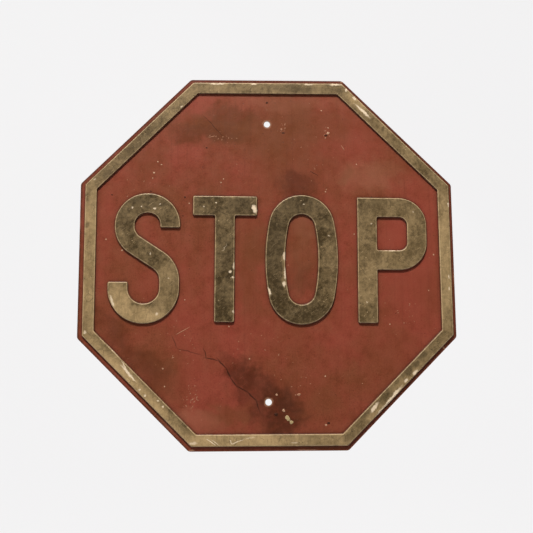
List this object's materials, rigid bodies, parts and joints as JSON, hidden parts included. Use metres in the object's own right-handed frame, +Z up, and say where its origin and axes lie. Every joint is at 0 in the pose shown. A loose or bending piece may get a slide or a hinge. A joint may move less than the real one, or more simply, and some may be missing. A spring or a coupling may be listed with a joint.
{
  "type": "stop sign",
  "caption": "Flat octagonal road sign of pressed steel, with a raised border band and raised block letters in cream enamel on a red ground, and holes for post bolts.",
  "frame": {"origin": "centre of the two post bolt holes, on the plane of the sign's flat back", "axes": "-Y is the way the sign's face looks, +Z is up the sign, +X is to the right as the word is read"},
  "size_m": [0.6096, 0.0053, 0.6096],
  "materials": {
    "steel": "satin",
    "red_enamel": "satin",
    "back_enamel": "matte",
    "cream_enamel": "satin"
  },
  "bodies": {
    "root": {"steel_blank": "steel", "ground_enamel": "red_enamel", "back_enamel": "back_enamel", "border_enamel": "cream_enamel", "letter_s_enamel": "cream_enamel", "letter_t_enamel": "cream_enamel", "letter_o_enamel": "cream_enamel", "letter_p_enamel": "cream_enamel"}
  },
  "joints": []
}
